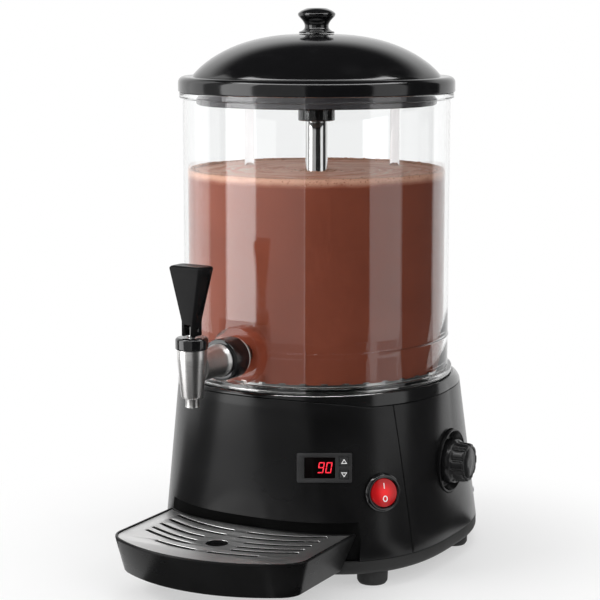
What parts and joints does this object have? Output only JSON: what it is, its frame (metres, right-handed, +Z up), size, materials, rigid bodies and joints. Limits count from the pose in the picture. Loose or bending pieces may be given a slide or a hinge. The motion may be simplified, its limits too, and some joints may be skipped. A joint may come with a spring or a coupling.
{
  "type": "hot chocolate dispenser",
  "caption": "Countertop hot chocolate dispenser: clear round tank with stirrer and domed lid, lever tap, black heated base with display, rocker and knob, and a drip tray.",
  "frame": {"origin": "centre of the whole footprint, on the surface that the feet stand on", "axes": "+Z up, the tap and the drip tray point to -Y, and the thermostat knob is on the +X side"},
  "size_m": [0.3084, 0.4236, 0.5419],
  "materials": {
    "satin_black": "satin",
    "gloss_black": "polished",
    "matt_black": "matt",
    "brushed_steel": "brushed",
    "polished_steel": "polished",
    "zinc_plate": "plated",
    "brass": "machined",
    "clear_tank": "clear, polished",
    "rubber": "matt",
    "silicone": "matt",
    "white_plastic": "moulded",
    "red_lens": "lit, polished",
    "smoked_window": "polished",
    "circuit_board": "matt"
  },
  "bodies": {
    "base": {"base_pan": "matt_black", "foot_front_left": "rubber", "foot_front_right": "rubber", "foot_rear_left": "rubber", "foot_rear_right": "rubber", "front_shell": "satin_black", "rear_shell": "satin_black", "top_deck": "satin_black", "tank_seal": "rubber", "tray_shelf": "zinc_plate", "water_bath": "brushed_steel", "heating_element": "brushed_steel", "motor_bracket": "zinc_plate", "gear_motor": "zinc_plate", "shaft_bush": "brass", "display_bezel": "satin_black", "display_window": "smoked_window", "display_module": "red_lens", "display_board": "circuit_board", "rocker_housing": "gloss_black", "knob_dish": "satin_black", "thermostat_body": "zinc_plate", "cord_gland": "matt_black", "rear_screw_left": "zinc_plate", "rear_screw_right": "zinc_plate", "terminal_block": "white_plastic"},
    "rotor": {"drive_shaft": "polished_steel"},
    "tank": {"tank_wall": "clear_tank", "floor_gasket": "silicone", "tank_floor": "brushed_steel", "tap_body": "brushed_steel", "tap_gasket": "silicone", "tap_collar": "gloss_black", "tap_back_nut": "matt_black", "tap_bonnet": "gloss_black"},
    "stirrer": {"stirrer_tube": "polished_steel", "stirrer_cap": "gloss_black", "stirrer_paddle": "white_plastic"},
    "lid": {"lid_dome": "gloss_black", "lid_knob": "gloss_black", "knob_screw": "zinc_plate", "lid_plate": "matt_black", "lid_bearing": "white_plastic", "clear_rod_1": "clear_tank", "clear_rod_2": "clear_tank"},
    "valve": {"valve_stem": "polished_steel", "seat_cup": "silicone", "handle_pin": "polished_steel"},
    "handle": {"tap_handle": "gloss_black"},
    "up_key": {"up_button": "satin_black"},
    "down_key": {"down_button": "satin_black"},
    "rocker": {"power_rocker": "red_lens"},
    "dial": {"side_knob": "satin_black", "knob_spindle": "brass"},
    "tray": {"drip_tray": "satin_black"},
    "grid": {"drip_grid": "brushed_steel"}
  },
  "joints": [
    {"name": "tank_lift", "type": "slide", "parent": "base", "child": "tank", "axis": [0, 0, 1], "range_m": [0, 0.3]},
    {"name": "lid_lift", "type": "slide", "parent": "tank", "child": "lid", "axis": [0, 0, 1], "range_m": [0, 0.2]},
    {"name": "shaft_spin", "type": "hinge", "parent": "base", "child": "rotor", "pos_m": [-0.0082, 0.0448, 0.1], "axis": [0, 0, 1], "continuous": true},
    {"name": "stirrer_spin", "type": "hinge", "parent": "tank", "child": "stirrer", "pos_m": [-0.0082, 0.0448, 0.44], "axis": [0, 0, 1], "continuous": true},
    {"name": "handle_tilt", "type": "hinge", "parent": "valve", "child": "handle", "pos_m": [-0.0265, -0.1644, 0.2537], "axis": [0.9962, -0.0872, 0], "range_deg": [0, 40]},
    {"name": "valve_lift", "type": "slide", "parent": "tank", "child": "valve", "axis": [0, 0, 1], "range_m": [0, 0.004]},
    {"name": "up_press", "type": "slide", "parent": "base", "child": "up_key", "axis": [-0.4572, 0.8868, -0.0671], "range_m": [0, 0.0005], "stiffness_N_per_m": 400},
    {"name": "down_press", "type": "slide", "parent": "base", "child": "down_key", "axis": [-0.4572, 0.8868, -0.0671], "range_m": [0, 0.0005], "stiffness_N_per_m": 400},
    {"name": "rocker_tilt", "type": "hinge", "parent": "base", "child": "rocker", "pos_m": [0.10936, -0.04438, 0.09062], "axis": [0.5957, 0.8032, 0], "range_deg": [0, 14]},
    {"name": "knob_turn", "type": "hinge", "parent": "base", "child": "dial", "pos_m": [0.14, 0.0585, 0.102], "axis": [1, 0, 0], "range_deg": [0, 270]},
    {"name": "tray_slide", "type": "slide", "parent": "base", "child": "tray", "axis": [0, -1, 0], "range_m": [0, 0.15]},
    {"name": "grid_lift", "type": "slide", "parent": "tray", "child": "grid", "axis": [0, 0, 1], "range_m": [0, 0.05]}
  ],
  "couplings": [
    {"joint": "shaft_spin", "follows": "stirrer_spin", "ratio": 1},
    {"joint": "handle_tilt", "follows": "valve_lift", "rad_per_m": 174.53}
  ]
}
